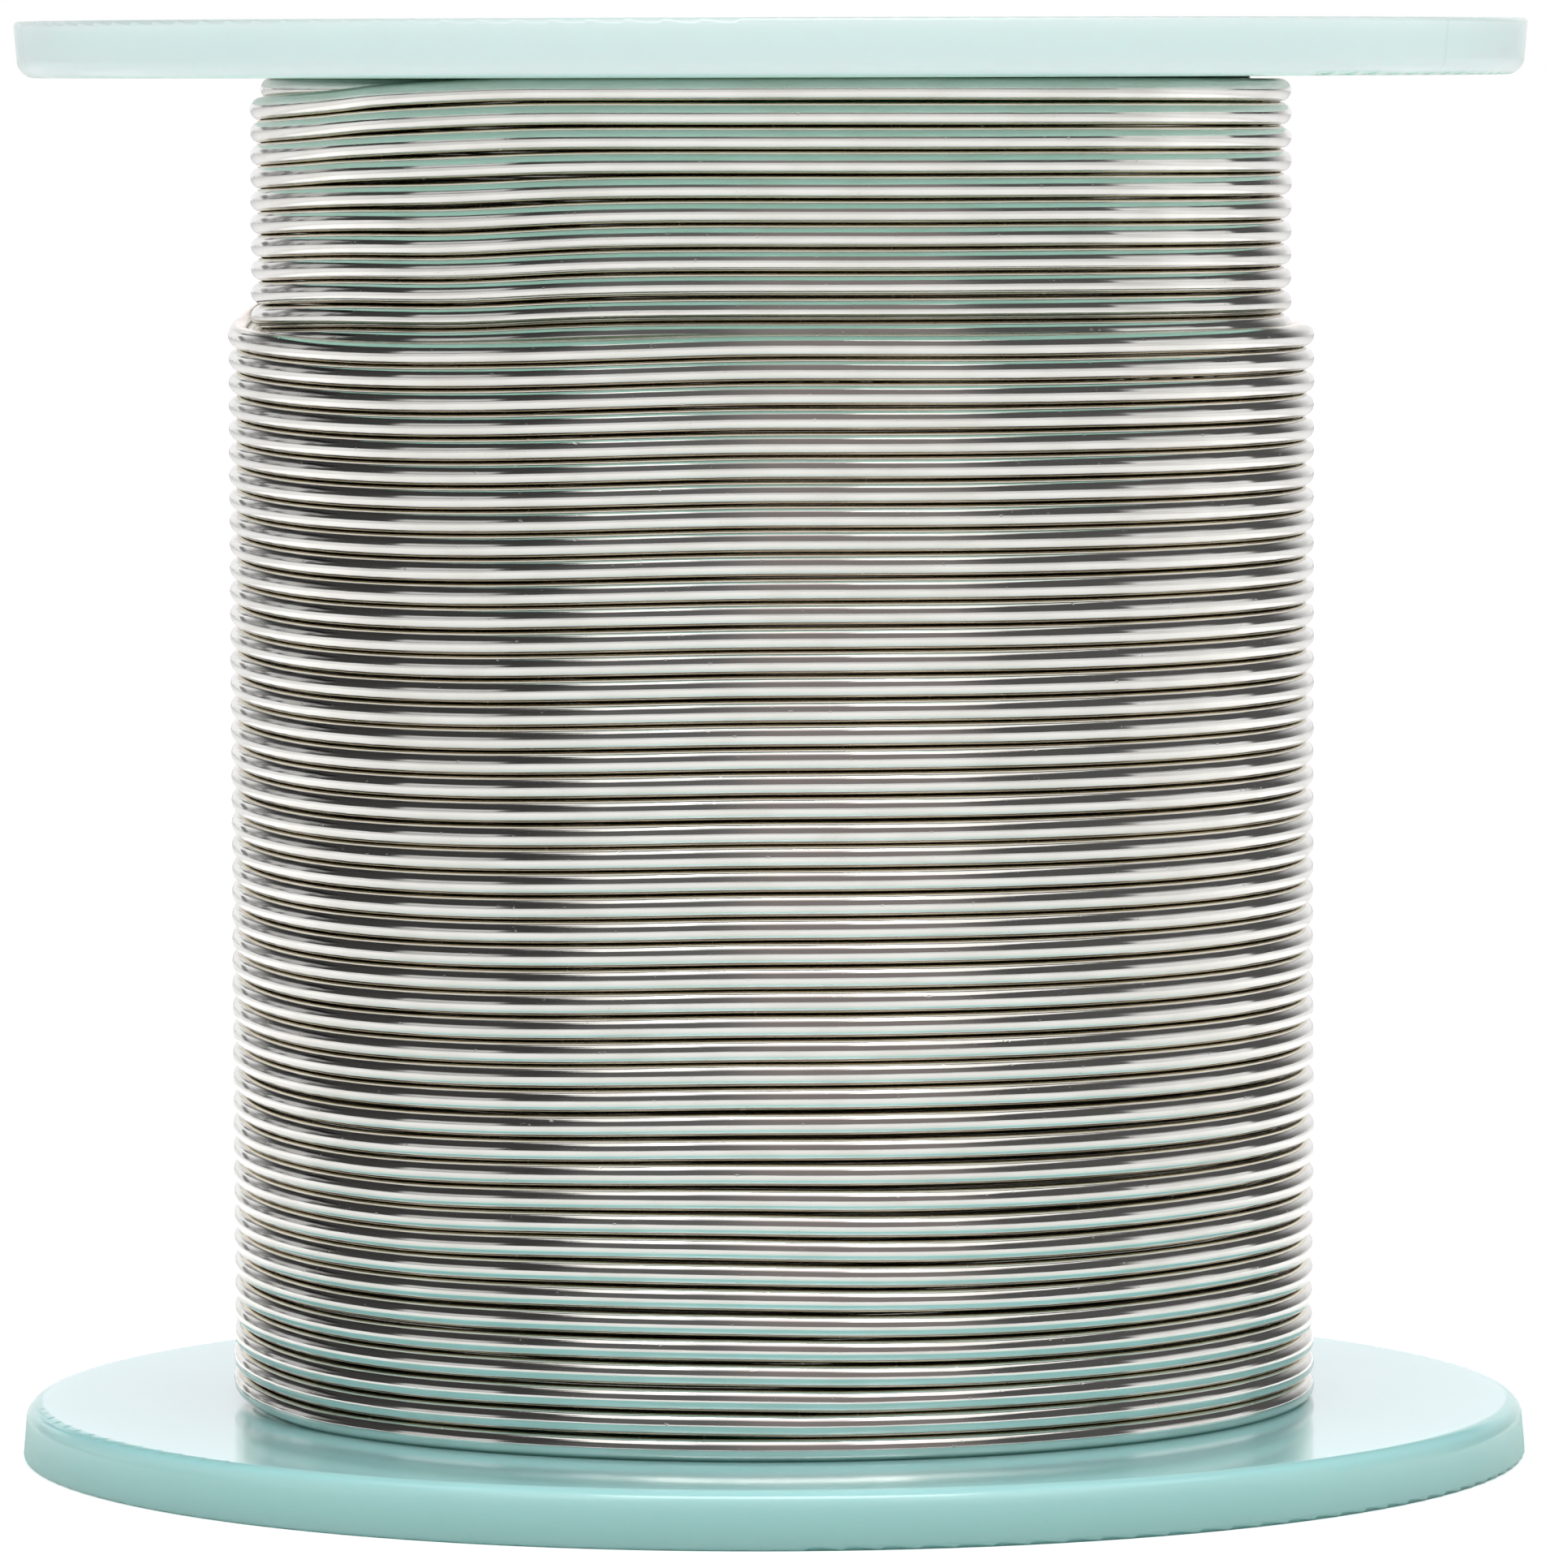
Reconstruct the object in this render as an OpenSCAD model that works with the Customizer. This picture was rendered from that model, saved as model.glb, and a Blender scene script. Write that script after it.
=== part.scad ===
// Full reel of solder wire: two moulded flanges plugged into a barrel, the wound wire, its two
// ends, and a round paper label on each outer face. Millimetres. The origin is the centre of the
// face that the reel stands on, and +Z runs up the spindle axis. Angles round the reel start at
// the front (-Y) and grow towards +X.

/* [Reel] */
// Diameter of both flanges
flange_d = 66; // [62:0.5:80]
// Height of the reel over both flanges
reel_h = 62.8; // [50:0.1:90]
// Thickness of a flange
flange_t = 2.45; // [2.3:0.05:4]
// How far a flange's rim is drawn in on the wire's side
rim_draft = 0.12; // [0:0.02:0.3]
// Radius of a flange's rim on the wire's side
edge_r = 0.8; // [0.6:0.1:1.6]
// Radius of a flange's rim on the outer side
outer_edge_r = 0.2; // [0.1:0.05:0.4]
// Outside diameter of the barrel
barrel_d = 25; // [24:0.5:30]
// Wall of the barrel
barrel_wall = 2; // [1.8:0.1:2.2]
// Diameter of the bore that the reel turns on
bore_d = 16; // [12:0.5:16.5]
// Chamfer at the mouth of the bore
bore_chamfer = 0.5; // [0.2:0.1:0.8]
// Length of a flange's spigot inside the barrel
spigot_l = 12; // [8:0.5:20]
// Chamfer round the nose of the spigot
spigot_chamfer = 0.6; // [0.3:0.1:1]

/* [Keys between flange and barrel] */
// Keys round each spigot
key_count = 3; // [2:1:6]
// Width of a key
key_w = 2.4; // [1.5:0.1:3.5]
// How far a key stands out of the spigot
key_h = 1; // [0.6:0.1:1.2]
// Length of a key from the flange
key_l = 5; // [3:0.5:7]

/* [Outer faces] */
// Width of the raised land along the rim
rim_land = 6.5; // [5:0.1:8]
// Width of the raised land round the bore
hub_land = 2; // [1:0.1:3]
// Depth of the label's recess
recess_depth = 0.4; // [0.3:0.05:0.6]
// Thickness of a paper label
label_t = 0.15; // [0.1:0.01:0.25]
// Gap between a label's edges and its recess
label_gap = 0.5; // [0.3:0.1:1]

/* [Wire] */
// Diameter of the solder wire
wire_d = 1; // [0.8:0.05:1.1]
// Diameter over the finished winding
wound_d = 47.5; // [42:0.5:50]
// Height of the band under the upper flange that the last layer doesn't cover
exposed_h = 10.6; // [9.5:0.05:16]
// Loops that stand for the last layer
outer_loops = 20; // [8:1:20]
// Loops that stand for the band of the layer below
exposed_loops = 4; // [2:1:4]

/* [Wire ends] */
// Diameter of the hole that the inner end leaves by
start_hole_d = 1.6; // [1.5:0.1:2]
// Length of the inner end in its groove
start_run = 6; // [3:0.5:8]
// Diameter of the hole that ties off the free end
tie_hole_d = 2; // [1.6:0.1:2.6]
// Plastic between the tie-off hole and the label's recess
tie_hole_web = 1; // [0.8:0.1:1.4]
// Angle at which the free end leaves the last loop
free_start_angle = -75; // [-80:5:-40]
// Angle of the tie-off hole
tie_hole_angle = -150; // [-165:5:-130]
// How far the free end stops short of the upper outer face
free_end_set = 0.5; // [0.2:0.1:1]

/* [Clearances] */
// Radial gap between spigot and barrel, and between barrel and winding
press_gap = 0.05; // [0.02:0.01:0.1]
// Gap between the visible loops and what they lie on
seat_gap = 0.05; // [0.02:0.01:0.1]
// Gap between the inner end and the sides and floor of its groove
groove_gap = 0.1; // [0.08:0.01:0.2]

/* [Hidden] */

plastic = [0.61, 0.83, 0.81];
solder = [0.78, 0.78, 0.76];
paper = [0.95, 0.95, 0.93];
$fn = 96;
// Overlap of cutting and joining shapes, which shows in no surface
over = 0.1;

// Reel
flange_r = flange_d / 2;
bore_r = bore_d / 2;
barrel_r = barrel_d / 2;
barrel_inner_r = barrel_r - barrel_wall;
spigot_r = barrel_inner_r - press_gap;
// Heights of the flanges' faces that the wire touches
lower_face = flange_t;
upper_face = reel_h - flange_t;

// Outer faces, measured on a flange that lies on its outer face
recess_r = flange_r - rim_land;
hub_land_r = bore_r + hub_land;
start_hole_x = barrel_r + start_hole_d / 2 + 2 * press_gap;
groove_w = wire_d + 2 * groove_gap;
groove_floor = recess_depth + wire_d + 2 * groove_gap;
tie_hole_x = recess_r + tie_hole_web + tie_hole_d / 2;

// Wire
wire_r = wire_d / 2;
// Centre lines of the wire where it bends sharply
bend_r = 0.8 * wire_d;
outer_r = wound_d / 2 - wire_r;
exposed_r = outer_r - wire_d;
// Height at which the buried layers step in, level with the centre of the last loop
ledge = upper_face - exposed_h - wire_r;

// A wound tube has 24 rings a loop and 6 sides, flat towards the reel's axis
rings = 24;
sides = 6;
bend_rings = 4;
free_rings = 10;
// Stations at least this many apart belong to different stretches of the tube
stretch_step = 9;
// A ring's flat lies this far inside the centre line
flat_r = wire_r * cos(180 / sides);
// A loop's straight stretches cut inside its circle, so the layer below stays under them
function layer_below_r(r) = (r - flat_r) * cos(180 / rings) - seat_gap;

function on_reel(p) = [p[0] * sin(p[1]), -p[0] * cos(p[1]), p[2]];
function unit(v) = v / norm(v);
function arc_angle(length, r) = length / r * 180 / PI;

// Stations of a tube are [radius, angle, height]. An end stands square on a face for one diameter,
// away in the direction `up`, and then bends into the loops in the direction `turn`.
function end_run(r, a, face, up, turn) = concat(
    [[r, a, face]],
    [for (k = [0 : bend_rings])
        let (b = 90 * k / bend_rings)
        [r, a + turn * arc_angle(bend_r * (1 - cos(b)), r), face + up * (wire_d + bend_r * sin(b))]]
);

// Loops from height z0 to z1, without their first station
function loops(r, a, z0, z1, count, turn) =
    [for (i = [1 : count * rings])
        [r, a + turn * 360 * i / rings, z0 + (z1 - z0) * i / (count * rings)]];

// The free end leaves the last loop level, and comes upright under its hole
function free_run(r0, a0, z0, r1, a1, z1) =
    [for (k = [1 : free_rings])
        let (s = 90 * k / free_rings)
        [r0 + (r1 - r0) * pow(sin(s), 3), a0 + (a1 - a0) * sin(s), z0 + (z1 - z0) * (1 - cos(s))]];

function reversed(list) = [for (i = [len(list) - 1 : -1 : 0]) list[i]];

end_height = wire_d + bend_r;
bend_angle_outer = arc_angle(bend_r, outer_r);
bend_angle_exposed = arc_angle(bend_r, exposed_r);
exposed_start_angle = 150;

outer_stations = concat(
    end_run(outer_r, free_start_angle + bend_angle_outer, lower_face, 1, -1),
    loops(outer_r, free_start_angle, lower_face + end_height, ledge, outer_loops, -1),
    free_run(outer_r, free_start_angle, ledge, tie_hole_x, tie_hole_angle, upper_face - wire_d),
    [[tie_hole_x, tie_hole_angle, upper_face], [tie_hole_x, tie_hole_angle, reel_h - free_end_set]]
);

exposed_stations = concat(
    end_run(exposed_r, exposed_start_angle - bend_angle_exposed, ledge, 1, 1),
    loops(exposed_r, exposed_start_angle, ledge + end_height, upper_face - end_height,
        exposed_loops, 1),
    reversed(end_run(exposed_r, exposed_start_angle + bend_angle_exposed, upper_face, -1, -1))
);

// A tube along stations, with a closed polyhedron of triangles
function tube_points(path) = [
    for (i = [0 : len(path) - 1])
        let (
            t = unit(path[min(i + 1, len(path) - 1)] - path[max(i - 1, 0)]),
            out = unit([path[i][0], path[i][1], 0]),
            n = unit(out - t * (out * t)),
            b = cross(t, n)
        )
        for (k = [0 : sides - 1])
            let (c = 360 * (k + 0.5) / sides)
            path[i] + wire_r * (cos(c) * n + sin(c) * b)
];

function tube_faces(count) = concat(
    [for (k = [1 : sides - 2]) [0, k, k + 1]],
    [
        for (i = [0 : count - 2], k = [0 : sides - 1], half = [0, 1])
            let (
                a = i * sides + k,
                b = i * sides + (k + 1) % sides
            )
            half == 0 ? [a, a + sides, b] : [b, a + sides, b + sides]
    ],
    [for (k = [1 : sides - 2]) let (e = (count - 1) * sides) [e, e + k + 1, e + k]]
);

module tube(stations) {
    path = [for (p = stations) on_reel(p)];
    polyhedron(points = tube_points(path), faces = tube_faces(len(path)), convexity = 20);
}

// Least gap of a tube to itself, from one stretch of it to another
function least_gap(path) = min([
    for (i = [0 : len(path) - 1 - stretch_step], j = [i + stretch_step : len(path) - 1])
        norm(path[i] - path[j])
]) - wire_d;

echo(str("winding_outer: least gap to itself ",
    least_gap([for (p = outer_stations) on_reel(p)]), " mm"));
echo(str("winding_exposed: least gap to itself ",
    least_gap([for (p = exposed_stations) on_reel(p)]), " mm"));

// Half section of a flange's disc, lying on its outer face
module disc_section() {
    inner_rim_r = flange_r - rim_draft;
    edge_z = flange_t - edge_r;
    intersection() {
        square([flange_r, flange_t]);
        union() {
            square([inner_rim_r - edge_r, flange_t]);
            square([flange_r - outer_edge_r, edge_z]);
            polygon([[0, outer_edge_r], [flange_r, outer_edge_r], [inner_rim_r, edge_z], [0, edge_z]]);
            translate([inner_rim_r - edge_r, edge_z])
                circle(r = edge_r);
            translate([flange_r - outer_edge_r, outer_edge_r])
                circle(r = outer_edge_r);
        }
    }
}

// Spigot with its keys, standing on the disc
module spigot() {
    translate([0, 0, flange_t - over])
        cylinder(r = spigot_r, h = spigot_l + over - spigot_chamfer);
    translate([0, 0, flange_t + spigot_l - spigot_chamfer])
        cylinder(r1 = spigot_r, r2 = spigot_r - spigot_chamfer, h = spigot_chamfer);
    for (i = [0 : key_count - 1])
        rotate(360 * i / key_count)
            translate([bore_r + over, -key_w / 2, flange_t - over])
                cube([spigot_r + key_h - bore_r - over, key_w, key_l + over]);
}

module label_recess() {
    translate([0, 0, -over])
        difference() {
            cylinder(r = recess_r, h = recess_depth + over);
            cylinder(r = hub_land_r, h = recess_depth + over);
        }
}

// Hole and groove of the wire's inner end, along +X
module start_cut() {
    groove_l = start_run + bend_r + groove_gap;
    translate([start_hole_x, 0, -over])
        cylinder(d = start_hole_d, h = flange_t + 2 * over, $fn = 32);
    translate([start_hole_x, -groove_w / 2, -over])
        cube([groove_l, groove_w, groove_floor + over]);
}

// A flange that lies on its outer face, with its spigot up
module flange() {
    difference() {
        union() {
            rotate_extrude()
                disc_section();
            spigot();
        }
        translate([0, 0, -over])
            cylinder(r = bore_r, h = flange_t + spigot_l + 2 * over);
        translate([0, 0, -over])
            cylinder(r1 = bore_r + bore_chamfer + over, r2 = bore_r, h = bore_chamfer + over);
        label_recess();
        rotate(90)
            start_cut();
        rotate(-tie_hole_angle - 90)
            translate([tie_hole_x, 0, -over])
                cylinder(d = tie_hole_d, h = flange_t + 2 * over, $fn = 32);
    }
}

module label_ring() {
    difference() {
        cylinder(r = recess_r - label_gap, h = label_t);
        translate([0, 0, -over])
            cylinder(r = hub_land_r + label_gap, h = label_t + 2 * over);
    }
}

module lower_flange() {
    color(plastic)
        flange();
}

// The upper flange is the same moulding, turned over about the reel's front-to-back axis
module upper_flange() {
    color(plastic)
        translate([0, 0, reel_h])
            rotate([0, 180, 0])
                flange();
}

// Notches for the keys of one spigot, cut upwards from a barrel's end
module key_notches() {
    notch_w = key_w + 2 * press_gap;
    notch_r = spigot_r + key_h + press_gap;
    for (i = [0 : key_count - 1])
        rotate(360 * i / key_count)
            translate([bore_r, -notch_w / 2, -over])
                cube([notch_r - bore_r, notch_w, key_l + press_gap + over]);
}

module barrel() {
    color(plastic)
        difference() {
            translate([0, 0, lower_face])
                cylinder(r = barrel_r, h = upper_face - lower_face);
            translate([0, 0, lower_face - over])
                cylinder(r = barrel_inner_r, h = upper_face - lower_face + 2 * over);
            translate([0, 0, lower_face])
                key_notches();
            translate([0, 0, upper_face])
                rotate([0, 180, 0])
                    key_notches();
        }
}

// The buried layers of wire, packed solid
module winding_core() {
    color(solder)
        difference() {
            union() {
                translate([0, 0, lower_face])
                    cylinder(r = layer_below_r(outer_r), h = ledge - lower_face);
                translate([0, 0, ledge - over])
                    cylinder(r = layer_below_r(exposed_r), h = upper_face - ledge + over);
            }
            translate([0, 0, lower_face - over])
                cylinder(r = barrel_r + press_gap, h = upper_face - lower_face + 2 * over);
        }
}

// The last layer, which ends in the tie-off hole of the upper flange
module winding_outer() {
    color(solder)
        tube(outer_stations);
}

// The layer below it, where it shows under the upper flange
module winding_exposed() {
    color(solder)
        tube(exposed_stations);
}

// The wire's inner end: up through the start hole, then outwards in its groove
module start_tail() {
    run_z = groove_floor - groove_gap - wire_r;
    color(solder)
        translate([0, 0, reel_h])
            rotate([0, 180, 0])
                rotate(90)
                    translate([start_hole_x, 0, 0]) {
                        translate([0, 0, run_z + bend_r])
                            cylinder(r = wire_r, h = flange_t - run_z - bend_r, $fn = 32);
                        translate([bend_r, 0, run_z + bend_r])
                            rotate([90, 0, 0])
                                rotate(180)
                                    rotate_extrude(angle = 90, $fn = 64)
                                        translate([bend_r, 0])
                                            circle(r = wire_r, $fn = 32);
                        translate([bend_r, 0, run_z])
                            rotate([0, 90, 0])
                                cylinder(r = wire_r, h = start_run, $fn = 32);
                    }
}

module upper_label() {
    color(paper)
        translate([0, 0, reel_h - recess_depth])
            label_ring();
}

module lower_label() {
    color(paper)
        translate([0, 0, recess_depth - label_t])
            label_ring();
}

lower_flange();
upper_flange();
barrel();
winding_core();
winding_outer();
winding_exposed();
start_tail();
upper_label();
lower_label();
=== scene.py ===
"""Looks of the full solder reel: every visible turn of wire, the aqua plastic, blank paper labels,
a white studio and the camera. Metres, in the frame of the CAD part. Angles round the reel are in
degrees, start at the front (-Y) and grow towards +X."""

import math

import bpy
from mathutils import Matrix, Vector, noise


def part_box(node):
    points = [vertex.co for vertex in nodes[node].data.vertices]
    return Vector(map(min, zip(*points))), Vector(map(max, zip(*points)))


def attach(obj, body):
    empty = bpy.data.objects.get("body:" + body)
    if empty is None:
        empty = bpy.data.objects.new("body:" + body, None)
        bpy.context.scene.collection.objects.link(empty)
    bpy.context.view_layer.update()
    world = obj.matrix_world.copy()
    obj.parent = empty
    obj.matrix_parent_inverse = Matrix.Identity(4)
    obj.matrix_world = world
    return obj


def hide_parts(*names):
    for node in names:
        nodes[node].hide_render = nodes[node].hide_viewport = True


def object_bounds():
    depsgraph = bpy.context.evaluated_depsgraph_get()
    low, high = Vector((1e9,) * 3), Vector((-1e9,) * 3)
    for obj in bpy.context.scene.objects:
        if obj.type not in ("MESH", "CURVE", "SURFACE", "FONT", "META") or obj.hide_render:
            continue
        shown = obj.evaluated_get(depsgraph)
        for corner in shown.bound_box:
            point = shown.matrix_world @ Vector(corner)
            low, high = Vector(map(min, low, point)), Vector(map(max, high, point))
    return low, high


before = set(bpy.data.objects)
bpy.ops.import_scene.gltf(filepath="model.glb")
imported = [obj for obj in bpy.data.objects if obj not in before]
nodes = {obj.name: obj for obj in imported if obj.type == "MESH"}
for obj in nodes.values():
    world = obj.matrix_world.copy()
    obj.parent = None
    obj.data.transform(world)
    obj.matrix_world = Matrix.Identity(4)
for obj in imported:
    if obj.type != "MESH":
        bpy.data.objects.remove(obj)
cad_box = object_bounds()

MM = 0.001

# Places taken from the frame
LOWER_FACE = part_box("barrel")[0][2]
UPPER_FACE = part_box("barrel")[1][2]
BARREL_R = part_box("barrel")[1][0]
FLANGE_R = cad_box[1][0]
REEL_H = cad_box[1][2]
# A flange's rim leans in towards the wire's side and ends there in a rounded edge
EDGE_R = 0.8 * MM
RIM_DRAFT = 0.12 * MM
EDGE_CENTRE_R = FLANGE_R - RIM_DRAFT - EDGE_R
EDGE_CENTRE_H = LOWER_FACE - EDGE_R
WIRE_R = 0.5 * MM
# The CAD tube has 6 sides and a flat at its outermost point
OUTER_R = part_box("winding_outer")[1][0] - WIRE_R * math.cos(math.radians(30))
EXPOSED_R = OUTER_R - 2 * WIRE_R

# Wire as wound
TURN_STEPS = 96
TUBE_SIDES = 16
# Heights of the last layer's turns at the front in millimetres, as (turn, height)
OUTER_HEIGHTS = ((1, 2.96), (10, 12.4), (15, 17.74), (46, 49.19))
OUTER_START = -0.3
OUTER_TURNS = 46
OUTER_PITCH = 1.015 * MM
EXPOSED_TOP = 59.85 * MM
EXPOSED_START = -1.3
EXPOSED_TURNS = 12
EXPOSED_PITCH = 1.0167 * MM
# Bends that only some turns of the last layer have, as (rise, height where they begin, height over
# which they grow, middle, width). Millimetres and degrees; a negative growth is downwards.
OUTER_BENDS = (
    (-0.43, 6, 11.5, 312, 30),
    (-0.11, 10, -3, 312, 22),
    (-0.13, 17, -6, 24, 24),
    (0.04, 45, 3, 5, 20),
    (-0.055, 13, 5, 333, 14),
)
# How each layer's wire climbs out of the one below: from how deep, from which turn, and over how
# much of a turn
OUTER_CLIMB = (1.95 * MM, -0.05, 0.55)
EXPOSED_CLIMB = (1.85 * MM, -1.167, 0.611)
# Least distance between the centre lines of neighbouring turns
CONTACT = 0.995 * MM
# Where the free end leaves the last turn, and where it is tied off
FREE_ANGLE = -75
TIE_ANGLE = -150
TIE_R = 28.5 * MM
FREE_END_SET = 0.5 * MM
FREE_STEPS = 30
# Seeds of the unevenness of the two layers
OUTER_SEED = 7
EXPOSED_SEED = 27
# Edges of the wire's meshes that turn by more than this stay sharp
SHARP_ANGLE = math.radians(50)

# Aqua of the moulded plastic, and of the upper flange's face towards the wire, which is painted
# paler and greener with the light that comes through the flange from above
PLASTIC = (0.355, 0.65, 0.655)
UPPER_INSIDE_LIT = (0.42, 0.69, 0.61)
# Colours of each rim at its flange's outer face and at its face towards the wire. Both are painted
# light and shade: the upper rim pale with the light that the flange lets through from above, the
# lower rim darker, most of all towards the floor
LOWER_RIM_SHADED = ((0.31, 0.56, 0.54), (0.38, 0.60, 0.59))
UPPER_RIM_LIT = ((0.67, 0.825, 0.81), (0.70, 0.83, 0.83))
# How far from the rim the face towards the wire begins to turn into it
LOWER_RIM_EDGE = 0.5 * MM
UPPER_RIM_EDGE = 0.75 * MM
# Angles of the faint mould seams across the upper rim
UPPER_SEAMS = (-78, 60)
# Colours of the solder: clean and tarnished, and the painted shade of the crevices between the
# turns, brown and darker deeper in
CLEAN, TARNISHED = (0.86, 0.85, 0.82), (0.80, 0.785, 0.745)
CREVICE_SHADE, DEEP_CREVICE_SHADE = (0.76, 0.71, 0.60), (0.50, 0.46, 0.35)
# The label paper's darker and lighter places
PAPER = ((0.78, 0.78, 0.755), (0.82, 0.82, 0.80))
# The floor away from the reel, and under and close round it, where it is painted aqua with the
# light that passes through the flanges; and the black that the mould seams take a little of
FLOOR_WHITE, FLOOR_AQUA = (0.79, 0.79, 0.79), (0.66, 0.77, 0.75)
BLACK = (0.0, 0.0, 0.0)


def smooth(t):
    t = min(max(t, 0.0), 1.0)
    return t * t * (3 - 2 * t)


def hump(angle, centre, width):
    """1 at the centre and falling to 0 on both sides, round the reel."""
    d = (angle - centre + 180) % 360 - 180
    return math.exp(-((d / width) ** 2))


def outer_height(turn):
    """Height of the last layer at the front, for a turn number that may be a fraction."""
    pairs = list(zip(OUTER_HEIGHTS, OUTER_HEIGHTS[1:]))
    (t0, z0), (t1, z1) = next((p for p in pairs if turn <= p[1][0]), pairs[-1])
    return (z0 + (z1 - z0) * (turn - t0) / (t1 - t0)) * MM


def outer_lay(angle, height):
    """How far a turn of the last layer lies above its steady climb. It stays nearly level at the
    front, dips at the front left, and steps up to the next turn behind. The numbers here and below
    are millimetres and degrees."""
    z = height / MM
    step_at, half_step = 258 - 68 * smooth((z - 8) / 12), 80
    step = smooth((angle - step_at + half_step) / (2 * half_step))
    level = -0.15 * smooth(angle / 90) - 0.865 * step
    for bend, low, span, centre, width in OUTER_BENDS:
        level += bend * smooth((z - low) / span) * hump(angle, centre, width)
    level += 0.1 * math.exp(-(((z - 11.5) / 3.5) ** 2)) * hump(angle, 341, 17)
    level += 0.03 * hump(angle, 357, 9) - 0.03 * hump(angle, 30, 28)
    return level * MM + OUTER_PITCH * angle / 360


def exposed_lay(angle, turn):
    """The same for the layer below, which was wound downwards and slopes the other way."""
    right = -0.18 * smooth(angle / 90)
    back = 0.477 * smooth((angle - 100) / 160)
    left = 0.72 * smooth((angle - 275) / 65)
    dip = 0.27 * smooth((turn - 1) / 5)
    level = right + back + left - dip * hump(angle, 324, 15)
    return level * MM - EXPOSED_PITCH * angle / 360


def depth_below(turn, depth, start, length):
    """How far under its own layer the wire still is where it climbs out of the one below."""
    return depth * (1 - smooth((turn - start) / length))


def unevenness(angle, height, turn, seed):
    """Drift in height and radius that neighbouring turns share, and a little of each turn's own."""
    a = math.radians(angle)
    shared = Vector((2.2 * math.cos(a), 2.2 * math.sin(a), height / (9 * MM) + seed))
    own = Vector((1.3 * turn, seed, 0.5))
    dz = 0.03 * noise.noise(shared) + 0.022 * noise.noise(own)
    dr = 0.035 * noise.noise(shared + Vector((9, 0, 0))) + 0.02 * noise.noise(own * 1.7)
    return dz * MM, dr * MM


def settle(stations, direction):
    """Rests each turn against the one wound before it. The direction is 1 up and -1 down."""
    for i in range(TURN_STEPS, len(stations)):
        r, angle, z = stations[i]
        before_r, _, before_z = stations[i - TURN_STEPS]
        limit = before_z + direction * math.sqrt(max(CONTACT**2 - (r - before_r) ** 2, 0))
        stations[i] = (r, angle, direction * max(direction * z, direction * limit))
    return stations


def outer_stations():
    """(radius, angle, height) along the last layer, from the lower flange to the tied free end."""
    end = OUTER_TURNS - FREE_ANGLE / 360
    found = []
    for i in range(round((end - OUTER_START) * TURN_STEPS) + 1):
        turn = OUTER_START + i / TURN_STEPS
        angle = -360 * turn % 360
        base = outer_height(turn)
        dz, dr = unevenness(angle, base, turn, OUTER_SEED)
        z = max(base + outer_lay(angle, base) + dz, LOWER_FACE + WIRE_R)
        found.append((OUTER_R - depth_below(turn, *OUTER_CLIMB) + dr, -360 * turn, z))
    found = settle(found, 1)
    return found + free_end(*found[-1])


def free_end(r0, a0, z0):
    """The free end leaves the last turn level and comes upright under its hole."""
    sweep = TIE_ANGLE - FREE_ANGLE
    rise = UPPER_FACE - 2 * WIRE_R - z0
    found = []
    for k in range(1, FREE_STEPS + 1):
        s = math.radians(90 * k / FREE_STEPS)
        r = r0 + (TIE_R - r0) * math.sin(s) ** 3
        found.append((r, a0 + sweep * math.sin(s), z0 + rise * (1 - math.cos(s))))
    return found + [(TIE_R, a0 + sweep, UPPER_FACE), (TIE_R, a0 + sweep, REEL_H - FREE_END_SET)]


def exposed_stations():
    """The wire comes up from the layers below, under the upper flange, and then winds down."""
    found = []
    for i in range(round((EXPOSED_TURNS - EXPOSED_START) * TURN_STEPS) + 1):
        turn = EXPOSED_START + i / TURN_STEPS
        angle = -360 * turn % 360
        base = EXPOSED_TOP - EXPOSED_PITCH * turn
        dz, dr = unevenness(angle, base, turn, EXPOSED_SEED)
        z = min(base + exposed_lay(angle, turn) + dz, UPPER_FACE - WIRE_R)
        found.append((EXPOSED_R - depth_below(turn, *EXPOSED_CLIMB) + dr, -360 * turn, z))
    return settle(found, -1)


def point(radius, angle, height):
    """The place at a radius, an angle in radians and a height."""
    return Vector((radius * math.sin(angle), -radius * math.cos(angle), height))


def new_object(name, data):
    made = bpy.data.objects.new(name, data)
    bpy.context.scene.collection.objects.link(made)
    return made


def smooth_object(name, verts, faces, uvs=()):
    mesh = bpy.data.meshes.new(name)
    mesh.from_pydata(verts, [], faces)
    if uvs:
        mesh.uv_layers.new(name="wire").data.foreach_set("uv", uvs)
    mesh.shade_smooth()
    mesh.set_sharp_from_angle(angle=SHARP_ANGLE)
    return new_object(name, mesh)


def tube(name, stations):
    """A closed tube of wire along (radius, angle, height) stations. Its UV map gives the distance
    along the wire in millimetres and the way round it."""
    path = [point(r, math.radians(angle), z) for r, angle, z in stations]
    verts, along = [], [0.0]
    for i, p in enumerate(path):
        # Along the wire, out from the reel, and across
        t = (path[min(i + 1, len(path) - 1)] - path[max(i - 1, 0)]).normalized()
        out = Vector((p.x, p.y, 0)).normalized()
        n = (out - t * out.dot(t)).normalized()
        b = t.cross(n)
        for k in range(TUBE_SIDES):
            c = 2 * math.pi * k / TUBE_SIDES
            verts.append(p + WIRE_R * (math.cos(c) * n + math.sin(c) * b))
        if i:
            along.append(along[-1] + (p - path[i - 1]).length / MM)
    faces, uvs = [], []
    for i in range(len(path) - 1):
        low, high = i * TUBE_SIDES, (i + 1) * TUBE_SIDES
        for k in range(TUBE_SIDES):
            k2 = (k + 1) % TUBE_SIDES
            faces.append((low + k, low + k2, high + k2, high + k))
            v, v2 = k / TUBE_SIDES, (k + 1) / TUBE_SIDES
            uvs += [along[i], v, along[i], v2, along[i + 1], v2, along[i + 1], v]
    last = (len(path) - 1) * TUBE_SIDES
    for ring, place in ((range(TUBE_SIDES - 1, -1, -1), 0), (range(last, last + TUBE_SIDES), -1)):
        faces.append(tuple(ring))
        uvs += [along[place], 0.0] * TUBE_SIDES
    return smooth_object(name, verts, faces, uvs)


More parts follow.
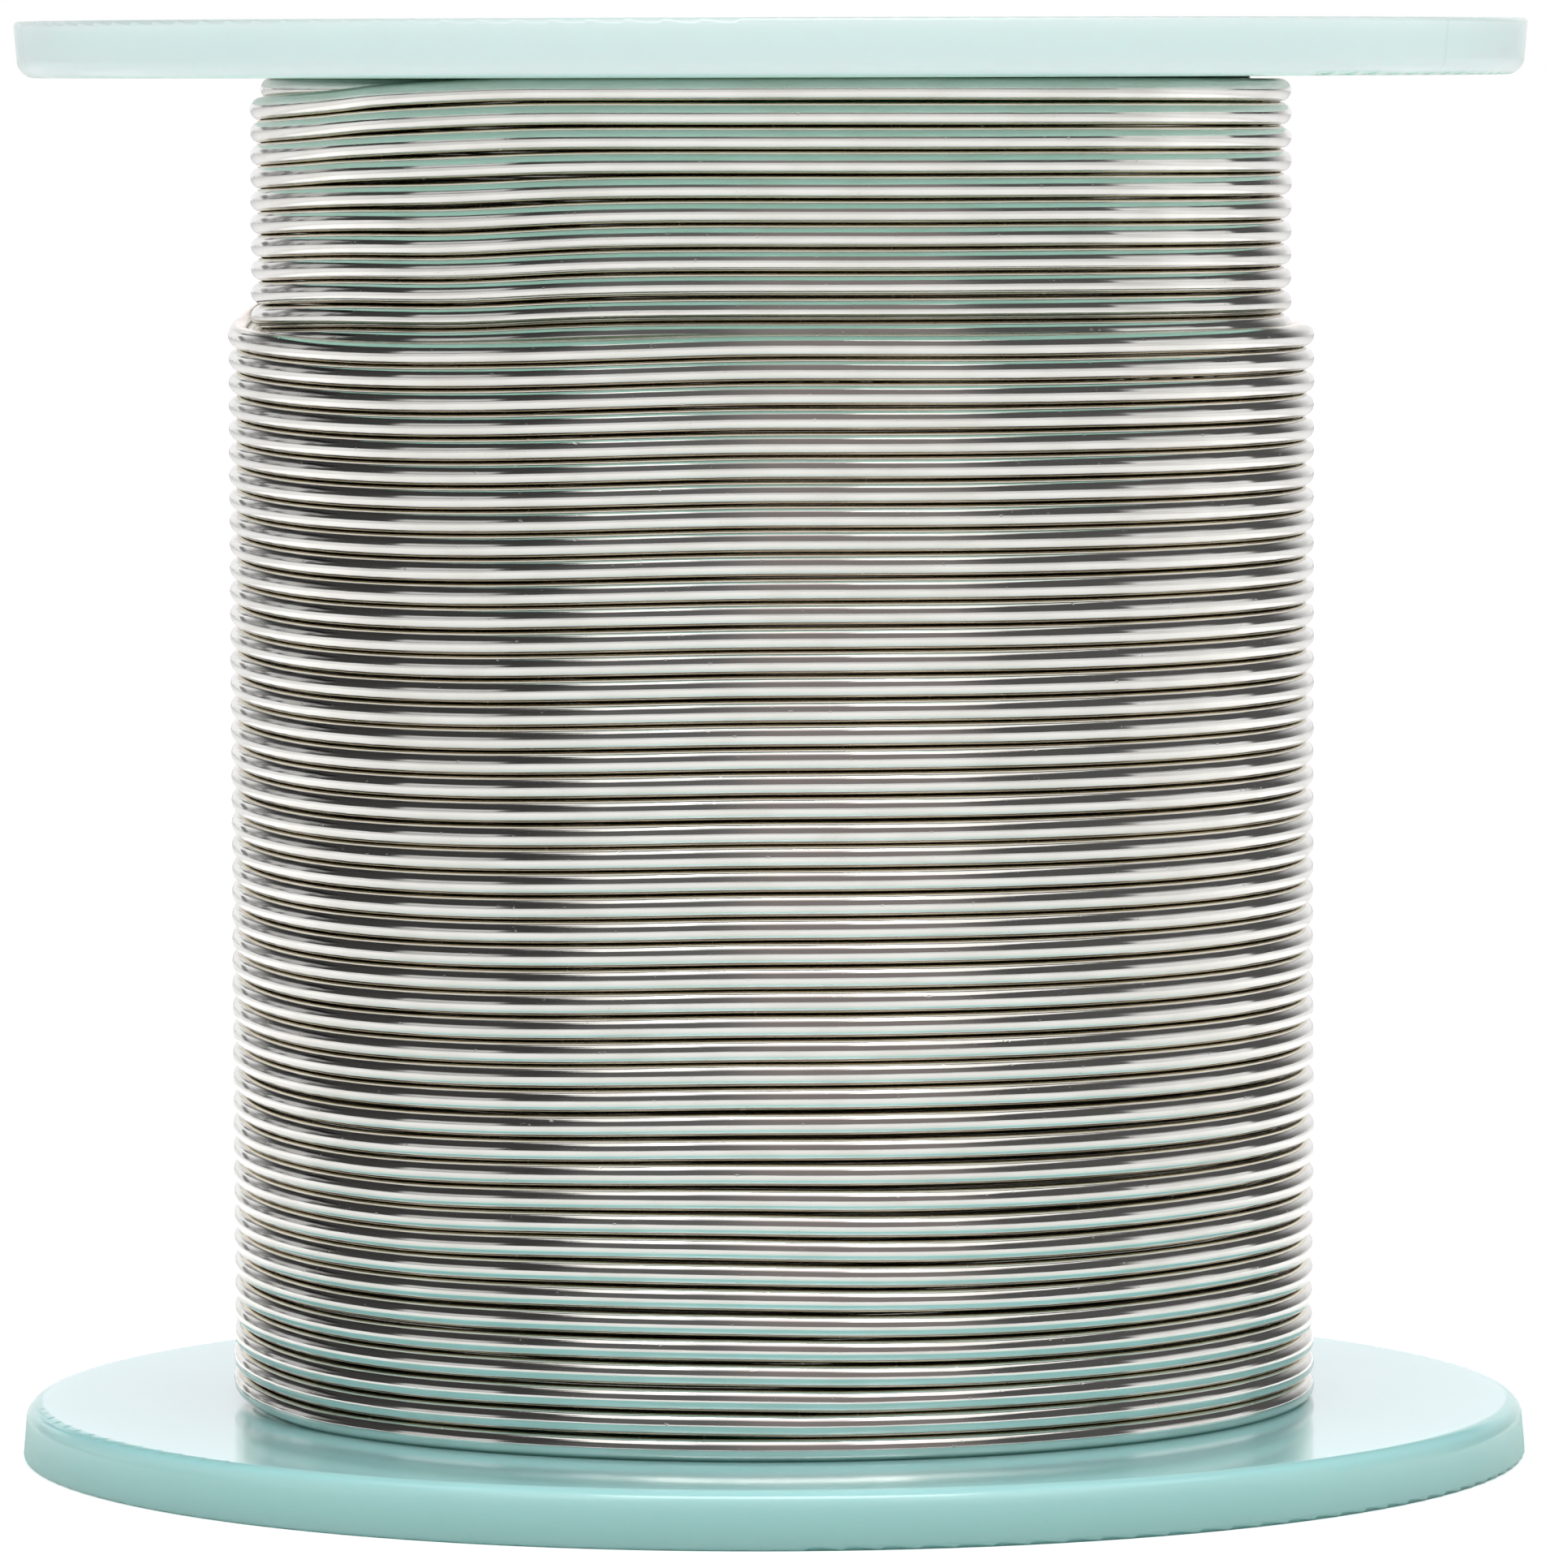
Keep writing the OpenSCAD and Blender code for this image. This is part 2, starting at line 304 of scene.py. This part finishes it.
def lathe(name, profile, steps=96):
    """A closed ring whose section is a closed (radius, height) profile, counter-clockwise."""
    count = len(profile)
    verts = []
    for i in range(steps):
        verts += [point(r, 2 * math.pi * i / steps, z) for r, z in profile]
    faces = []
    for i in range(steps):
        here, there = i * count, (i + 1) % steps * count
        for k in range(count):
            k2 = (k + 1) % count
            faces.append((here + k, there + k, there + k2, here + k2))
    return smooth_object(name, verts, faces)


def buried_layers():
    """The layers below the visible ones, with the turns of the outermost of them as ribs. From a
    little below the last layer's top upwards, the ribs lie one layer deeper."""
    inner = BARREL_R + 0.05 * MM
    layer = 0.95 * MM
    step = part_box("winding_exposed")[0][2] - 2 * MM
    rib_points, half_rib = 5, 80
    # The ends under the flanges are plain and lie deeper still
    end_r, end_height = EXPOSED_R - 1.35 * MM, 1.1 * MM
    profile = [(inner, LOWER_FACE), (end_r, LOWER_FACE)]
    low, high = LOWER_FACE + end_height, UPPER_FACE - end_height
    count = round((high - low) / EXPOSED_PITCH)
    pitch = (high - low) / count
    for i in range(count):
        z0 = low + i * pitch
        centre = EXPOSED_R if z0 < step else EXPOSED_R - layer
        for k in range(rib_points):
            c = math.radians(-half_rib + 2 * half_rib * k / (rib_points - 1))
            profile.append((centre + WIRE_R * math.cos(c), z0 + pitch / 2 + WIRE_R * math.sin(c)))
    profile += [(end_r, UPPER_FACE), (inner, UPPER_FACE)]
    return lathe("buried_layers", profile)


class Shader:
    """Builds the nodes of one material or world. Values that are node outputs are linked."""

    def __init__(self, tree):
        self.tree = tree
        self.tree.nodes.clear()

    def add(self, kind, values=(), **settings):
        made = self.tree.nodes.new(kind)
        for key, value in settings.items():
            setattr(made, key, value)
        for key, value in dict(values).items():
            if isinstance(value, bpy.types.NodeSocket):
                self.tree.links.new(value, made.inputs[key])
            else:
                made.inputs[key].default_value = value
        return made

    def math(self, operation, a, b=0.0, c=0.0):
        return self.add("ShaderNodeMath", {0: a, 1: b, 2: c}, operation=operation).outputs[0]

    def blend(self, value, low, high, from_value=0.0, to_value=1.0):
        """Runs smoothly from one value to the other while the input goes from low to high."""
        places = {0: value, 1: low, 2: high, 3: from_value, 4: to_value}
        made = self.add("ShaderNodeMapRange", places, interpolation_type="SMOOTHSTEP")
        return made.outputs[0]

    def mix(self, factor, a, b):
        """From colour a at 0 to colour b at 1."""
        a, b = (v if isinstance(v, bpy.types.NodeSocket) else (*v, 1) for v in (a, b))
        values = {"Factor": factor, 6: a, 7: b}
        return self.add("ShaderNodeMix", values, data_type="RGBA").outputs[2]

    def noise(self, vector, scale, detail=2.0, roughness=0.5):
        values = {"Vector": vector, "Scale": scale, "Detail": detail, "Roughness": roughness}
        return self.add("ShaderNodeTexNoise", values).outputs[0]

    def vector(self, x, y, z):
        return self.add("ShaderNodeCombineXYZ", {0: x, 1: y, 2: z}).outputs[0]

    def scaled(self, vector, scale):
        values = {"Vector": vector, "Scale": (scale, scale, scale)}
        return self.add("ShaderNodeMapping", values).outputs[0]

    def place(self, output="Object"):
        """(whole vector, x, y, z) of a texture coordinate."""
        whole = self.add("ShaderNodeTexCoord").outputs[output]
        return (whole, *self.add("ShaderNodeSeparateXYZ", {0: whole}).outputs)

    def radius(self, x, y):
        """Distance from the reel's axis."""
        squares = self.math("ADD", self.math("MULTIPLY", x, x), self.math("MULTIPLY", y, y))
        return self.math("SQRT", squares)

    def angle(self, x, y):
        """Angle round the reel in radians, from the front."""
        return self.math("ARCTAN2", x, self.math("MULTIPLY", y, -1.0))

    def rays(self):
        """1 for rays from the camera or through something clear, and 1 for rays off gloss."""
        paths = self.add("ShaderNodeLightPath").outputs
        seen = self.math("MAXIMUM", paths["Is Camera Ray"], paths["Is Transmission Ray"])
        return seen, paths["Is Glossy Ray"]

    def bump(self, height, depth, **more):
        values = {"Height": height, "Strength": 1.0, "Distance": depth, **more}
        return self.add("ShaderNodeBump", values)

    def vector_math(self, operation, a, b=(0.0, 0.0, 0.0)):
        made = self.add("ShaderNodeVectorMath", {0: a, 1: b}, operation=operation)
        return made.outputs["Value" if operation == "DOT_PRODUCT" else "Vector"]

    def finish(self, **values):
        """A Principled surface with the given inputs."""
        names = {k.replace("_", " ").title().replace("Ior", "IOR"): v for k, v in values.items()}
        shader = self.add("ShaderNodeBsdfPrincipled", names)
        self.add("ShaderNodeOutputMaterial", {"Surface": shader.outputs[0]})


def new_material(name):
    made = bpy.data.materials.new(name)
    made.use_nodes = True
    return made, Shader(made.node_tree)


def solder_material(name, has_uv):
    """Bright drawn tin alloy: fine lines along the wire, faint tarnish, small nicks, and painted
    brown shade in the crevices between the turns."""
    made, s = new_material(name)
    whole, x, y, _ = s.place("UV" if has_uv else "Object")
    if has_uv:
        turn = s.math("MULTIPLY", y, 2 * math.pi)
        out, side = s.math("COSINE", turn), s.math("SINE", turn)
        close = [s.math("MULTIPLY", value, 3.5) for value in (out, side)]
        lines = s.vector(s.math("MULTIPLY", x, 0.12), *close)
        spots = s.vector(x, out, side)
        # Painted shade: the wire turns brown towards the crevices between the turns, darker deeper
        # in
        crevice_shade = s.blend(out, 0.68, 0.40)
        deep = s.blend(out, 0.30, 0.05)
        waves = s.vector(s.math("MULTIPLY", x, 0.55), out, side)
    else:
        lines = s.scaled(whole, 3000)
        spots = s.scaled(whole, 1000)
        crevice_shade = deep = 0.0
        waves = spots
    drawn = s.noise(lines, 2.0, 3.0)
    tarnish = s.blend(s.noise(spots, 0.35, 3.0), 0.35, 0.7)
    nick = s.blend(s.noise(spots, 2.6, 1.0), 0.72, 0.8)
    bright = s.mix(tarnish, CLEAN, TARNISHED)
    colour = s.mix(deep, s.mix(crevice_shade, bright, CREVICE_SHADE), DEEP_CREVICE_SHADE)
    rough = s.math("MULTIPLY_ADD", nick, 0.15, s.blend(tarnish, 0.0, 1.0, 0.09, 0.15))
    height = s.math("MULTIPLY_ADD", nick, -2.0, drawn)
    height = s.math("MULTIPLY_ADD", s.noise(waves, 1.0, 1.0), 4.0, height)
    bump = s.bump(height, 0.0012 * MM).outputs[0]
    s.finish(base_color=colour, metallic=1.0, roughness=rough, normal=bump)
    return made


def moulded_normal(s, x, y, radius, height, inward):
    """The exact normal of a flange's rim, rounded edge and inner face, which the facets of its mesh
    only come near. Elsewhere it is the mesh's own. The height is over the flange's outer face."""
    out = s.math("MAXIMUM", s.math("SUBTRACT", radius, EDGE_CENTRE_R), 0.0)
    lean = EDGE_R * RIM_DRAFT / EDGE_CENTRE_H
    rise = s.math("MAXIMUM", s.math("SUBTRACT", height, EDGE_CENTRE_H), lean)
    share = s.math("DIVIDE", out, radius)
    parts = ((share, x), (share, y), (rise, inward))
    exact = s.vector_math("NORMALIZE", s.vector(*(s.math("MULTIPLY", *pair) for pair in parts)))
    turning = {"vector_type": "NORMAL", "convert_from": "OBJECT", "convert_to": "WORLD"}
    exact = s.add("ShaderNodeVectorTransform", {0: exact}, **turning).outputs[0]
    mesh = s.add("ShaderNodeNewGeometry").outputs
    # It holds where a facet faces within about 30 degrees of it, and past the outer edge's rounding
    near = s.blend(s.vector_math("DOT_PRODUCT", mesh["True Normal"], exact), 0.8, 0.9)
    past_edge = s.blend(height, 0.25 * MM, 0.35 * MM)
    near = s.math("MULTIPLY", near, past_edge)
    values = {"Factor": near, 4: mesh["Normal"], 5: exact}
    blended = s.add("ShaderNodeMix", values, data_type="VECTOR").outputs[1]
    return s.vector_math("NORMALIZE", blended)


def plastic_material(name, inside, rim_light_and_shade, inward, edge, seams=()):
    """Glossy moulded plastic that light soaks into, with faint turning marks and clouding. Its face
    towards the wire has the colour "inside", which on the upper flange is painted paler and greener
    with the light that comes through the flange. Its rim is duller than its faces and carries
    painted
    light and shade: the upper rim is painted pale with the light that the flange lets through from
    above, the lower rim darker, most of all towards the floor. It may have faint mould seams across
    it at the given angles.
    Inward is 1 where the wire is above the flange and -1 where it is below, and edge is how far
    from the rim that face begins to turn into it."""
    made, s = new_material(name)
    whole, x, y, z = s.place()
    radius, angle = s.radius(x, y), s.angle(x, y)
    over_face = s.math("MULTIPLY_ADD", z, inward, 0.0 if inward > 0 else REEL_H)
    rounding = (over_face, 1.2 * MM, 1.6 * MM)
    rim_start = s.blend(*rounding, FLANGE_R - 0.4 * MM, FLANGE_R - edge)
    rim_full = s.blend(*rounding, FLANGE_R - 0.15 * MM, FLANGE_R - edge + 0.4 * MM)
    at_rim = s.blend(radius, rim_start, rim_full)
    by_wire = s.math("MULTIPLY", s.blend(*rounding), s.blend(radius, BARREL_R, BARREL_R + 0.1 * MM))
    flat = s.vector(s.math("MULTIPLY", radius, 1 / MM), s.math("MULTIPLY", angle, 0.6), z)
    rings = s.noise(flat, 3.0, 4.0, 0.6)
    round_rim = s.vector(s.math("MULTIPLY", angle, 3.0), s.math("MULTIPLY", z, 1 / MM), 0.0)
    streaks = s.noise(round_rim, 1.6, 3.0)
    cloud = s.blend(s.noise(whole, 60.0, 2.0), 0.3, 0.7)
    # On the upper flange the face towards the wire takes painted light that comes through the
    # flange
    face = s.mix(by_wire, PLASTIC, inside)
    lighter = s.vector_math("MULTIPLY", face, (1.04, 1.04, 1.04))
    face = s.mix(cloud, face, lighter)
    # Painted light and shade on the rim: paler on the upper flange, darker on the lower one and
    # more so towards the floor
    rim = s.mix(s.blend(over_face, 0.0, LOWER_FACE), *rim_light_and_shade)
    seam = 0.0
    for place in seams:
        away = s.math("ABSOLUTE", s.math("SUBTRACT", angle, math.radians(place)))
        seam = s.math("ADD", seam, s.blend(away, 0.006, 0.002))
    rim = s.mix(s.math("MULTIPLY", seam, 0.05), rim, BLACK)
    colour = s.mix(at_rim, face, rim)
    rough = s.math("MULTIPLY_ADD", at_rim, s.math("MULTIPLY_ADD", streaks, 0.1, 0.08), 0.1)
    height = s.math("MULTIPLY_ADD", streaks, 0.6, rings)
    height = s.math("MULTIPLY_ADD", s.math("MULTIPLY", seam, at_rim), -5.0, height)
    normal = moulded_normal(s, x, y, radius, over_face, inward)
    bump = s.bump(height, 0.0006 * MM, Normal=normal).outputs[0]
    s.finish(
        base_color=colour,
        roughness=rough,
        normal=bump,
        subsurface_weight=0.6,
        subsurface_radius=(0.7, 1.0, 0.95),
        subsurface_scale=4 * MM,
        ior=1.59,
    )
    return made


def paper_material():
    """Matt white label paper with its fibres."""
    made, s = new_material("label_paper")
    whole = s.place()[0]
    fibres = s.noise(whole, 2500.0, 4.0, 0.7)
    shade = s.noise(whole, 90.0, 2.0)
    colour = s.mix(s.blend(shade, 0.3, 0.7), *PAPER)
    bump = s.bump(fibres, 0.01 * MM).outputs[0]
    s.finish(base_color=colour, roughness=0.7, normal=bump)
    return made


def dress():
    """Gives the CAD nodes their materials and puts the wound wire in place."""
    lower = plastic_material("aqua_plastic", PLASTIC, LOWER_RIM_SHADED, 1, LOWER_RIM_EDGE)
    upper = plastic_material(
        "aqua_plastic_top", UPPER_INSIDE_LIT, UPPER_RIM_LIT, -1, UPPER_RIM_EDGE, UPPER_SEAMS
    )
    paper = paper_material()
    wire = solder_material("solder_wire", True)
    bare = solder_material("solder_end", False)
    finishes = {"lower_flange": lower, "upper_flange": upper, "barrel": lower}
    finishes |= {"upper_label": paper, "lower_label": paper, "start_tail": bare}
    for name, material in finishes.items():
        for place in nodes[name].material_slots:
            place.material = material
    wound = {
        "winding_outer": (tube("last_layer", outer_stations()), wire),
        "winding_exposed": (tube("layer_below", exposed_stations()), wire),
        "winding_core": (buried_layers(), bare),
    }
    for name, (piece, material) in wound.items():
        piece.data.materials.append(material)
        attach(piece, "root")
        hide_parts(name)


def add_camera():
    """The photograph's view: a long lens level with the upper flange, tilted down a little."""
    place = Vector((0.02 * MM, -472.37 * MM, 61.31 * MM))
    tilt, roll = 0.06757, -0.00269
    focal_pixels, long_side_pixels = 13291.45, 1932
    data = bpy.data.cameras.new("camera")
    data.sensor_width = 36
    data.lens = focal_pixels * data.sensor_width / long_side_pixels
    data.clip_start = 50 * MM
    camera = new_object("camera", data)
    turned = Matrix.Rotation(math.pi / 2 - tilt, 4, "X") @ Matrix.Rotation(roll, 4, "Z")
    camera.matrix_world = Matrix.Translation(place) @ turned
    bpy.context.scene.camera = camera


def add_floor():
    """White floor with a soft aqua tint of the light that passes through the flanges. It is lifted
    towards the white of the background where the camera sees it, less so near the reel, whose
    shadow stays, and behind the reel also where the wire mirrors it."""
    mesh = bpy.data.meshes.new("floor")
    half = 3.0
    corners = [(-half, -half, 0), (half, -half, 0), (half, half, 0), (-half, half, 0)]
    mesh.from_pydata(corners, [], [(0, 1, 2, 3)])
    floor = new_object("floor", mesh)
    made, s = new_material("white_floor")
    _, x, y, _ = s.place()
    radius = s.radius(x, y)
    # Painted light: the floor turns aqua close round the reel
    tint = s.mix(s.blend(radius, 50 * MM, 34 * MM), FLOOR_WHITE, FLOOR_AQUA)
    matt = s.add("ShaderNodeBsdfDiffuse", {"Color": tint})
    seen, mirrored = s.rays()
    lift = s.math("MULTIPLY", seen, s.blend(radius, 45 * MM, 120 * MM, 0.5, 0.88))
    lift = s.math("MULTIPLY_ADD", mirrored, s.blend(y, -20 * MM, 60 * MM, 0.0, 0.23), lift)
    glow = s.add("ShaderNodeEmission", {"Strength": lift})
    both = s.add("ShaderNodeAddShader", {0: matt.outputs[0], 1: glow.outputs[0]})
    s.add("ShaderNodeOutputMaterial", {"Surface": both.outputs[0]})
    mesh.materials.append(made)


def add_overhead_lamps():
    """A large soft light overhead, with two wings towards the front and a brighter middle."""
    height, middle_drop = 0.9, 0.01
    # (name, left, right, front, back, radiance), with the sides as parts of the height
    lamps = (
        ("overhead", -0.60, 0.78, -0.45, 0.35, 1.1),
        ("left_wing", -0.76, -0.30, -0.78, -0.45, 1.1),
        ("right_wing", 0.30, 0.86, -0.88, -0.45, 1.1),
        ("middle", -0.30, 0.34, -0.34, -0.12, 5.0),
    )
    for name, left, right, front, back, radiance in lamps:
        data = bpy.data.lights.new(name, "AREA")
        data.shape = "RECTANGLE"
        data.size, data.size_y = (right - left) * height, (back - front) * height
        data.energy = radiance * math.pi * data.size * data.size_y
        data.color = (1.0, 0.99, 0.965)
        lamp = new_object(name, data)
        drop = middle_drop if name == "middle" else 0.0
        lamp.location = ((left + right) / 2 * height, (front + back) / 2 * height, height - drop)
        lamp.visible_camera = False


def add_ring_light():
    """A soft ring of light round the upper part of the reel. It doesn't show itself."""
    radius, low, high, steps, radiance = 0.15, 0.015, 0.09, 48, 1.1
    verts = []
    for i in range(steps):
        verts += [point(radius, 2 * math.pi * i / steps, z) for z in (low, high)]
    faces = []
    for i in range(steps):
        j = (i + 1) % steps
        faces.append((2 * i, 2 * i + 1, 2 * j + 1, 2 * j))
    mesh = bpy.data.meshes.new("ring_light")
    mesh.from_pydata(verts, [], faces)
    ring = new_object("ring_light", mesh)
    made, s = new_material("ring_glow")
    front = s.math("SUBTRACT", 1.0, s.add("ShaderNodeNewGeometry").outputs["Backfacing"])
    glow = s.add("ShaderNodeEmission", {"Strength": s.math("MULTIPLY", front, radiance)})
    s.add("ShaderNodeOutputMaterial", {"Surface": glow.outputs[0]})
    mesh.materials.append(made)
    ring.visible_camera = False
    ring.visible_glossy = False
    ring.visible_shadow = False


def add_world():
    """White to the camera. Reflections show a studio: white walls behind, a grey room in front,
    dark sides with pale cards standing in them, and lamp stands on the left. The rest is plain
    light, stronger from above."""
    world = bpy.data.worlds.new("studio")
    world.use_nodes = True
    bpy.context.scene.world = world
    s = Shader(world.node_tree)
    _, x, y, z = s.place("Generated")
    azimuth = s.math("DEGREES", s.angle(x, y))
    elevation = s.math("DEGREES", s.math("ARCSINE", z))

    def window(value, low, high, soft):
        """1 from the low value to the high one, and 0 outside them, with soft ends."""
        rise = s.blend(value, low - soft, low + soft)
        return s.math("MULTIPLY", rise, s.blend(value, high + soft, high - soft))

    # (left, right, edge, low, high, edge, radiance) of each card, in degrees from the front
    cards = (
        (-86, -60, 2, 1, 17, 2, 0.55),
        (-142, -112, 4, 1, 18, 3, 0.50),
        (82, 122, 1.5, -5, 12, 1.5, 0.75),
        (82, 110, 1.5, 12, 20, 1.5, 0.36),
    )
    light = s.blend(azimuth, -60, 60, 0.045, 0.085)
    for left, right, edge, low, high, soft, radiance in cards:
        across, up = window(azimuth, left, right, edge), window(elevation, low, high, soft)
        light = s.math("MULTIPLY_ADD", s.math("MULTIPLY", across, up), radiance, light)
    front = window(azimuth, -46, 44, 10)
    rightwards = (azimuth, -18, 2)
    room = s.math("ADD", s.blend(*rightwards, 0.12, 0.22), s.blend(z, 0.68, 0.93, 0.0, 0.95))
    light = s.math("MULTIPLY_ADD", front, s.math("SUBTRACT", room, light), light)
    straight_behind = (s.math("ABSOLUTE", azimuth), 172.5, 176.2)
    wall = s.blend(*straight_behind, 0.95, 1.25)
    behind = s.math("ADD", s.blend(azimuth, 138, 170), s.blend(azimuth, -138, -156))
    behind = s.math("MULTIPLY", behind, s.blend(elevation, 22, 14))
    light = s.math("MULTIPLY_ADD", behind, s.math("SUBTRACT", wall, light), light)
    stands = s.noise(s.vector(azimuth, s.math("MULTIPLY", elevation, 0.6), 0.0), 0.17, 2.0)
    at_left = window(azimuth, -168, -108, 3)
    dark = s.math("MULTIPLY", at_left, s.blend(stands, 0.50, 0.43, 0.0, 0.78))
    light = s.math("MULTIPLY", light, s.math("SUBTRACT", 1.0, dark))
    upward = s.math("MAXIMUM", z, 0.0)
    plain = s.math("MULTIPLY_ADD", s.math("MULTIPLY", upward, upward), 0.65, 0.18)
    seen, mirrored = s.rays()
    shown = s.math("MULTIPLY_ADD", mirrored, s.math("SUBTRACT", light, plain), plain)
    to_camera = s.math("MULTIPLY", seen, s.math("SUBTRACT", 1.0, shown))
    white, warm_white, far_white = (1, 1, 1), (1.06, 0.95, 0.94), (1.02, 0.965, 1.0)
    warm = s.math("MULTIPLY", front, s.blend(*rightwards))
    tint = s.mix(s.math("MULTIPLY", mirrored, warm), white, warm_white)
    far = s.math("MULTIPLY", mirrored, s.blend(*straight_behind))
    tint = s.mix(far, tint, far_white)
    values = {"Color": tint, "Strength": s.math("ADD", shown, to_camera)}
    back = s.add("ShaderNodeBackground", values)
    s.add("ShaderNodeOutputWorld", {"Surface": back.outputs[0]})


dress()
add_camera()
add_floor()
add_overhead_lamps()
add_ring_light()
add_world()
bpy.context.scene.view_settings.view_transform = "Standard"
